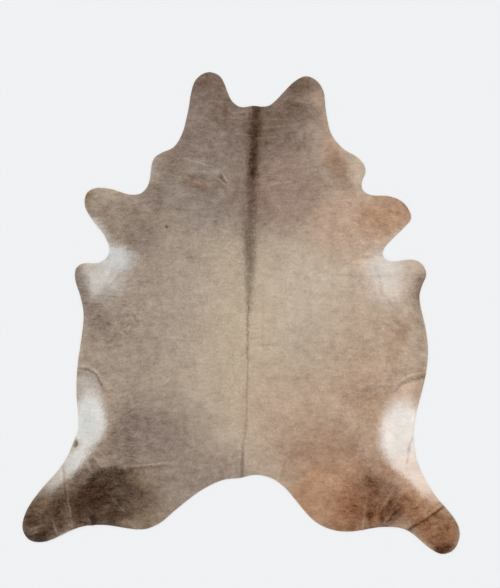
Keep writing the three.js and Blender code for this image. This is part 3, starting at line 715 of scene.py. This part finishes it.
def addStripe(tree, place, colour):
    parts = addNode(tree, "ShaderNodeSeparateXYZ", None, {0: place})
    low, high = stripe[-1][0], stripe[0][0]
    level = mathNode(tree, "DIVIDE", mathNode(tree, "SUBTRACT", parts.outputs[1], low), high - low)
    centre = curveAlongSpine(tree, level, "x", 0.1)
    halfWidth = curveAlongSpine(tree, level, "halfWidth", 0.05)
    strength = curveAlongSpine(tree, level, "strength", 1.0)
    offset = mathNode(tree, "ABSOLUTE", mathNode(tree, "SUBTRACT", parts.outputs[0], centre))
    ratio = mathNode(tree, "DIVIDE", offset, halfWidth)
    for layer in stripeLayers:
        mask = smoothStep(tree, ratio, layer["spread"], 0.0, 0.0, layer["share"])
        mask = mathNode(tree, "MULTIPLY", mask, strength)
        colour = mixColour(tree, mask, colour, toneColour(layer["tone"]))
    return colour


mottles = (  # light and dark flecks of the coat: noise scale, how much, and stretch across the hide
    {"scale": 6.0, "amount": 0.16, "stretch": 1.0},
    {"scale": 14.0, "amount": 0.27, "stretch": 1.0},
    {"scale": 30.0, "amount": 0.27, "stretch": 1.3},
    {"scale": 62.0, "amount": 0.25, "stretch": 2.2},
    {"scale": 125.0, "amount": 0.30, "stretch": 2.0},
    {"scale": 230.0, "amount": 0.26, "stretch": 1.2},
)
# fine skin wrinkle lines, drawn as painted shade with a painted highlight shifted towards the light beside
# each: noise scale, stretch, sharpness, how dark, how light, and the shift in metres
wrinkleShading = {"scale": 34.0, "stretch": 4.5, "sharpness": 9.0, "dark": 0.07, "light": 0.05, "shift": 0.0035}
sideFlecks = {"from": 0.34, "to": 0.62, "gain": 1.28}  # the flecks are stronger away from the back
coatSetup = {
    "hairLight": 1.14,      # makes up for the shade between the locks
    "fleckGamma": 0.55,     # brings the flecks nearer to grey than the hair is
    "darkest": 0.3,         # of the hair's own colour
    "ridgeHighlightGamma": 0.65,      # how pale the painted highlight on a crease's ridge is
    "lineWarp": 0.45,       # shares of the warps for lines, flecks and the stripe
    "mottleWarp": 0.6,
    "stripeWarp": 0.3,
    "roughness": 0.7,
    "specular": 0.08,
}
# How uneven hair of each brightness is
mottleGains = (
    (0.0, 0.68), (0.04, 0.68), (0.10, 0.66), (0.20, 0.58), (0.36, 0.43), (0.60, 0.26), (1.0, 0.26),
)


def stretchedNoise(tree, place, scale, stretch, detail=1.0):
    across = vectorNode(tree, "MULTIPLY", {0: place, 1: (1.0 / stretch, 1.0, 1.0)})
    return noiseNode(tree, across, scale, detail)


def paintedWrinkleLines(tree, place, shift):
    moved = vectorNode(tree, "ADD", {0: place, 1: (0.0, shift, 0.0)})
    noise = stretchedNoise(tree, moved, wrinkleShading["scale"], wrinkleShading["stretch"])
    away = mathNode(tree, "ABSOLUTE", mathNode(tree, "SUBTRACT", noise, 0.5))
    near = mathNode(tree, "SUBTRACT", 1.0, mathNode(tree, "MULTIPLY", away, wrinkleShading["sharpness"]))
    return mathNode(tree, "MAXIMUM", near, 0.0)


def addMottle(tree, place, colour):
    # painted shade along the wrinkle lines, and a painted highlight beside them
    light = mathNode(tree, "MULTIPLY", paintedWrinkleLines(tree, place, 0.0), -wrinkleShading["dark"])
    wrinkleHighlight = mathNode(tree, "MULTIPLY", paintedWrinkleLines(tree, place, wrinkleShading["shift"]), wrinkleShading["light"])
    light = mathNode(tree, "ADD", light, wrinkleHighlight)
    for mottle in mottles:
        noise = stretchedNoise(tree, place, mottle["scale"], mottle["stretch"])
        swing = mathNode(tree, "MULTIPLY", mathNode(tree, "SUBTRACT", noise, 0.5), 2 * mottle["amount"])
        light = mathNode(tree, "ADD", light, swing)
    # per-lock tint together with painted light on the tips and painted shade at crease feet and on the
    # skin between locks
    shade = addNode(tree, "ShaderNodeAttribute", {"attribute_name": "hairTintAndShade"}).outputs["Fac"]
    light = mathNode(tree, "ADD", light, shade)
    grey = addNode(tree, "ShaderNodeRGBToBW", None, {0: colour}).outputs[0]
    light = mathNode(tree, "MULTIPLY", light, curveNode(tree, grey, mottleGains))
    parts = addNode(tree, "ShaderNodeSeparateXYZ", None, {0: place})
    outwards = mathNode(tree, "ABSOLUTE", parts.outputs[0])
    more = smoothStep(tree, outwards, sideFlecks["from"], sideFlecks["to"], 1.0, sideFlecks["gain"])
    light = mathNode(tree, "MULTIPLY", light, more)
    flecks = gammaNode(tree, colour, coatSetup["fleckGamma"])
    flecks = vectorNode(tree, "SCALE", {0: flecks, "Scale": light})
    plain = vectorNode(tree, "SCALE", {0: colour, "Scale": coatSetup["hairLight"]})
    darkest = vectorNode(tree, "SCALE", {0: colour, "Scale": coatSetup["darkest"]})
    return vectorNode(tree, "MAXIMUM", {0: vectorNode(tree, "ADD", {0: plain, 1: flecks}), 1: darkest})


def coatMaterial():
    material, tree, shader = newMaterial("hairCoat", coatSetup)
    root = addNode(tree, "ShaderNodeAttribute", {"attribute_name": "hairRoot"}).outputs["Vector"]
    warped = warpedPlace(tree, root)
    colour = toneColour("sand")
    for row in patches.values():
        colour = addPatch(tree, warped, colour, row)
    colour = addStripe(tree, warpedPlace(tree, root, coatSetup["stripeWarp"]), colour)
    place = addNode(tree, "ShaderNodeTexCoord").outputs["Object"]
    slightly = warpedPlace(tree, place, coatSetup["lineWarp"])
    for row in lines.values():
        colour = addLine(tree, slightly, colour, row)
    colour = addMottle(tree, warpedPlace(tree, place, coatSetup["mottleWarp"]), colour)
    # painted highlight on the crease ridges
    ridgeHighlight = addNode(tree, "ShaderNodeAttribute", {"attribute_name": "hairRidgeHighlight"}).outputs["Fac"]
    colour = mixColour(tree, ridgeHighlight, colour, gammaNode(tree, colour, coatSetup["ridgeHighlightGamma"]))
    tree.links.new(colour, shader.inputs["Base Color"])
    return material


fleshSetup = {"cloudScale": 7.0, "napScale": 380.0, "nap": 0.5, "roughness": 0.9, "specular": 0.1}


def fleshMaterial():
    material, tree, shader = newMaterial("fleshSide", fleshSetup)
    place = addNode(tree, "ShaderNodeTexCoord").outputs["Object"]
    cloudy = noiseNode(tree, place, fleshSetup["cloudScale"], 4.0)
    nap = mathNode(tree, "MULTIPLY", noiseNode(tree, place, fleshSetup["napScale"]), fleshSetup["nap"])
    colour = mixColour(tree, cloudy, toneColour("suede"), toneColour("suedeCloud"))
    colour = mixColour(tree, nap, colour, toneColour("suedeNap"))
    tree.links.new(colour, shader.inputs["Base Color"])
    return material


# The coat is some 180,000 small locks, each a flat three-sided spike that lies the way the hair grows.
hairSetup = {
    "spacing": 0.0041,
    "length": 0.0190,
    "lengthSpread": 0.30,
    "jitter": 0.45,       # of the spacing
    "trim": 0.7,          # what is kept of a lock that would reach past the edge, up to five times over
    "shortest": 0.004,
    "creaseTrim": 0.6,    # how much shorter the hair is on a crease of creaseRise or more
    "creaseRise": 0.001,
    "width": 0.0023,
    "widthSpread": 0.25,
    "crown": 0.0005,      # ridge of a lock above its root
    "tipRise": 0.0011,
    "sink": 0.0002,
    "turnSpread": 13.0,   # degrees
    "tintSpread": 0.085,
    "rootMix": 0.007,     # how far hairs of neighbouring colours mix
    # painted light on the lock tips, leaving the roots darker as if in shade
    "paintedTipLight": 0.06,
}

growthColumns = ("x", "y", "heading", "reach")
growth = (  # which way the hair lies: degrees from +X, and how far from its place each row is felt
    (0.03, 1.00, -90, 0.30),
    (0.03, 0.50, -90, 0.25),
    (0.03, 0.00, -90, 0.30),
    (0.02, -0.50, -90, 0.30),
    (0.00, -0.85, -90, 0.20),
    (-0.20, 1.10, -100, 0.14),
    (0.32, 1.08, -78, 0.14),
    (-0.38, 0.66, -122, 0.15),
    (0.50, 0.66, -58, 0.15),
    (-0.72, 0.50, -172, 0.16),
    (0.76, 0.46, -10, 0.16),
    (-0.62, 0.22, -135, 0.12),
    (0.68, 0.20, -45, 0.12),
    (-0.70, -0.05, -112, 0.20),
    (0.80, -0.05, -68, 0.20),
    (-0.66, -0.50, -118, 0.16),
    (0.74, -0.52, -62, 0.16),
    (-0.66, -0.90, -128, 0.15),
    (0.66, -0.90, -52, 0.15),
    (-1.00, -1.04, -125, 0.14),
    (0.98, -1.06, -55, 0.14),
    (-0.40, -0.30, -100, 0.20),
    (0.45, -0.30, -80, 0.20),
)
whorl = {"x": -0.205, "y": 0.640, "reach": 0.045, "twist": 65.0}  # the small curl on the left shoulder

coatRegions = {  # name: lowest and highest y
    "neckHair": (0.42, 9.0),
    "shoulderHair": (0.10, 0.42),
    "backHair": (-0.26, 0.10),
    "rumpHair": (-0.60, -0.26),
    "hindHair": (-9.0, -0.60),
}


# painted highlight on each crease ridge and painted shade at its foot, as light from the upper left would
# fall
def creaseLightAndShade(x, y):
    ridgeHighlight, dark = np.zeros(len(x)), np.zeros(len(x))
    for crease in creases:
        distance, along, near = lineDistance(crease, crease["width"], x, y)
        # the painted highlight and shade come and go along the ridge
        broken = 0.75 + 0.25 * np.sin(37 * along + 60 * crease["x1"]) * np.sin(11 * along + 2)
        share = min(crease["height"] / creasePaintedLight["fullHeight"], creasePaintedLight["most"])
        strength = broken * np.sin(np.pi * along).clip(0, 1) ** 0.5 * share
        ridge = distance / creasePaintedLight["ridgeWidth"]
        foot = (distance - creasePaintedLight["footAt"]) / creasePaintedLight["footWidth"]
        ridgeHighlight[near] += creasePaintedLight["ridge"] * strength * np.exp(-ridge ** 2)
        # painted shade at the foot of the ridge, on its lower right away from the light
        dark[near] += creasePaintedLight["foot"] * strength * np.exp(-foot ** 2)
    return ridgeHighlight, dark


def storeCoat(mesh, roots, shade):
    places = vertexPlaces(mesh)
    # the crease's painted shade is taken off the tint, and its painted highlight is kept apart
    ridgeHighlight, dark = creaseLightAndShade(places[:, 0], places[:, 1])
    for name, value in {"hairTintAndShade": shade - dark, "hairRidgeHighlight": ridgeHighlight}.items():
        mesh.attributes.new(name, "FLOAT", "POINT").data.foreach_set("value", value.astype(np.float32))
    spots = np.column_stack([roots, np.zeros(len(roots))]).astype(np.float32)
    mesh.attributes.new("hairRoot", "FLOAT_VECTOR", "POINT").data.foreach_set("vector", spots.ravel())


def isInside(x, y):
    order = np.argsort(y)
    sortedY = y[order]
    inside = np.zeros(len(x), bool)
    for (x1, y1), (x2, y2) in zip(outline, np.roll(outline, -1, axis=0)):
        if y1 == y2:
            continue
        first, last = np.searchsorted(sortedY, (min(y1, y2), max(y1, y2)))
        hit = order[first:last]
        inside[hit] ^= x[hit] < x1 + (y[hit] - y1) * (x2 - x1) / (y2 - y1)
    return inside


def hairHeading(x, y):
    east, north = np.zeros(len(x)), np.full(len(x), -0.02)
    for row in growth:
        guide = dict(zip(growthColumns, row))
        weight = np.exp(-((x - guide["x"]) ** 2 + (y - guide["y"]) ** 2) / (2 * guide["reach"] ** 2))
        east += weight * math.cos(math.radians(guide["heading"]))
        north += weight * math.sin(math.radians(guide["heading"]))
    heading = np.arctan2(north, east)
    outX, outY = x - whorl["x"], y - whorl["y"]
    curl = np.exp(-(outX ** 2 + outY ** 2) / (2 * whorl["reach"] ** 2))
    spiral = np.arctan2(outY, outX) - math.radians(whorl["twist"])
    turn = (spiral - heading + np.pi) % (2 * np.pi) - np.pi
    return heading + curl * turn


def lockRoots(random):
    step = hairSetup["spacing"]
    low, high = outline.min(0), outline.max(0)
    gridX, gridY = np.meshgrid(np.arange(low[0], high[0], step), np.arange(low[1], high[1], step))
    gridX[1::2] += step / 2
    jitter = hairSetup["jitter"]
    x = (gridX + random.uniform(-jitter, jitter, gridX.shape) * step).ravel()
    y = (gridY + random.uniform(-jitter, jitter, gridY.shape) * step).ravel()
    inside = isInside(x, y)
    return x[inside], y[inside]


def lockPoints(x, y, heading, length, width):
    aheadX, aheadY = np.cos(heading), np.sin(heading)
    points = np.empty((len(x), 4, 3))
    points[:, 0, :2] = np.stack([x - aheadY * width / 2, y + aheadX * width / 2], 1)
    points[:, 1, :2] = np.stack([x + aheadY * width / 2, y - aheadX * width / 2], 1)
    points[:, 2, :2] = np.stack([x - aheadX * width / 3, y - aheadY * width / 3], 1)
    points[:, 3, :2] = np.stack([x + aheadX * length, y + aheadY * length], 1)
    flat = points.reshape(-1, 3)
    base = (sheetSetup["skinTop"] + skinLift(flat[:, 0], flat[:, 1])).reshape(-1, 4)
    points[:, 0, 2] = base[:, 0] - hairSetup["sink"]
    points[:, 1, 2] = base[:, 1] - hairSetup["sink"]
    points[:, 2, 2] = base[:, 2] + hairSetup["crown"] * width / hairSetup["width"]
    points[:, 3, 2] = base[:, 3] + hairSetup["tipRise"] * length / hairSetup["length"]
    return points


lockFaces = np.array([[0, 2, 3], [2, 1, 3], [1, 0, 3], [0, 1, 2]])  # left, right, under, root


def makeLocks(name, points, roots, tint):
    count = len(points)
    faces = (lockFaces[None] + 4 * np.arange(count)[:, None, None]).reshape(-1, 3)
    mesh = bpy.data.meshes.new(name)
    mesh.vertices.add(4 * count)
    mesh.vertices.foreach_set("co", points.astype(np.float32).ravel())
    mesh.loops.add(faces.size)
    mesh.loops.foreach_set("vertex_index", faces.astype(np.int32).ravel())
    mesh.polygons.add(len(faces))
    mesh.polygons.foreach_set("loop_start", np.arange(0, faces.size, 3, dtype=np.int32))
    mesh.update(calc_edges=True)
    mesh.shade_flat()
    shade = np.repeat(tint, 4)
    # painted light on each lock's tip
    shade[3::4] += hairSetup["paintedTipLight"]
    storeCoat(mesh, np.repeat(roots, 4, axis=0), shade)
    bakeMap = mesh.uv_layers.new(name="OFBake")  # laid out as seen from above
    flat = points.reshape(-1, 3)[:, :2]
    spread = (flat.max(0) - flat.min(0)).max()
    unit = (flat - flat.min(0)) / spread
    bakeMap.data.foreach_set("uv", unit[faces.ravel()].astype(np.float32).ravel())
    piece = bpy.data.objects.new(name, mesh)
    bpy.context.scene.collection.objects.link(piece)
    return piece


def makeCoat():
    random = np.random.default_rng(41)
    x, y = lockRoots(random)
    count = len(x)
    heading = hairHeading(x, y) + np.radians(random.normal(0, hairSetup["turnSpread"], count))
    length = hairSetup["length"] * (1 + random.uniform(-1, 1, count) * hairSetup["lengthSpread"])
    width = hairSetup["width"] * (1 + random.uniform(-1, 1, count) * hairSetup["widthSpread"])
    rise = (skinLift(x, y) - sheetSetup["waveHeight"]) / hairSetup["creaseRise"]
    length *= 1 - hairSetup["creaseTrim"] * np.clip(rise, 0, 1)
    for _ in range(5):
        outside = ~isInside(x + np.cos(heading) * length, y + np.sin(heading) * length)
        length[outside] *= hairSetup["trim"]
    kept = length > hairSetup["shortest"]
    tint = random.normal(0, hairSetup["tintSpread"], count)
    roots = np.column_stack([x, y]) + random.normal(0, hairSetup["rootMix"], (count, 2))
    points = lockPoints(x, y, heading, length, width)
    pieces = []
    for name, (low, high) in coatRegions.items():
        chosen = kept & (y > low) & (y <= high)
        pieces.append(makeLocks(name, points[chosen], roots[chosen], tint[chosen]))
        print(name, int(chosen.sum()), "locks")
    return pieces


edgeHairSetup = {
    "spacing": 0.0011,
    "length": 0.0085,
    "width": 0.0016,
    "jitter": 0.4,        # of the spacing
    "lengths": (0.6, 1.15),
    "widths": (0.7, 1.2),
    "reachOut": 0.0010,   # farthest past the edge
    "leastOut": 0.0004,
    "inset": 0.0012,      # of the roots
    "turnSpread": 16.0,   # degrees
    "span": 0.004,        # each way along the edge, to find its heading
    "tipDrop": 0.0010,    # the tips at the edge lie down
}


def makeEdgeHair():
    random = np.random.default_rng(42)
    ring = np.vstack([outline, outline[:1]])
    steps = np.hypot(*np.diff(ring, axis=0).T)
    travel = np.concatenate([[0], np.cumsum(steps)])
    at = np.arange(0, travel[-1], edgeHairSetup["spacing"])
    jitter = edgeHairSetup["jitter"]
    at = at + random.uniform(-jitter, jitter, len(at)) * edgeHairSetup["spacing"]
    x, y = np.interp(at, travel, ring[:, 0]), np.interp(at, travel, ring[:, 1])
    after, before = at + edgeHairSetup["span"], at - edgeHairSetup["span"]
    ahead = np.stack([np.interp(after, travel, ring[:, axis]) - np.interp(before, travel, ring[:, axis])
                      for axis in (0, 1)], 1)
    ahead /= np.hypot(*ahead.T)[:, None]
    following = np.roll(outline, -1, axis=0)
    turnsLeft = np.sum(outline[:, 0] * following[:, 1] - following[:, 0] * outline[:, 1]) > 0
    outward = np.stack([ahead[:, 1], -ahead[:, 0]], 1) * (1 if turnsLeft else -1)
    x = x - outward[:, 0] * edgeHairSetup["inset"]
    y = y - outward[:, 1] * edgeHairSetup["inset"]
    heading = hairHeading(x, y) + np.radians(random.normal(0, edgeHairSetup["turnSpread"], len(at)))
    along = np.stack([np.cos(heading), np.sin(heading)], 1)
    push = np.sum(along * outward, 1)
    length = edgeHairSetup["length"] * random.uniform(*edgeHairSetup["lengths"], len(at))
    farthest = edgeHairSetup["inset"] + edgeHairSetup["reachOut"]
    wanted = np.clip(push * length, edgeHairSetup["leastOut"], farthest)
    reach = along * length[:, None] + outward * (wanted - push * length)[:, None]
    heading = np.arctan2(reach[:, 1], reach[:, 0])
    width = edgeHairSetup["width"] * random.uniform(*edgeHairSetup["widths"], len(at))
    points = lockPoints(x, y, heading, np.hypot(*reach.T), width)
    points[:, 3, 2] -= edgeHairSetup["tipDrop"]
    tint = random.normal(0, hairSetup["tintSpread"], len(at))
    return makeLocks("edgeHair", points, np.column_stack([x, y]), tint)


hairPieces = makeCoat() + [makeEdgeHair()]
print("hair laid:", sum(len(piece.data.polygons) for piece in hairPieces), "triangles")


places = vertexPlaces(skin.data)
# the skin seen between the locks carries painted shade
storeCoat(skin.data, places[:, :2], np.full(len(places), sheetSetup["underfurPaintedShade"]))
coat = coatMaterial()
skin.data.materials[0] = coat
skin.data.materials[1] = fleshMaterial()
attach(skin, "root")
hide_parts("hide")
for piece in hairPieces:
    piece.data.materials.append(coat)
    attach(piece, "root")
print("materials given, pieces declared")
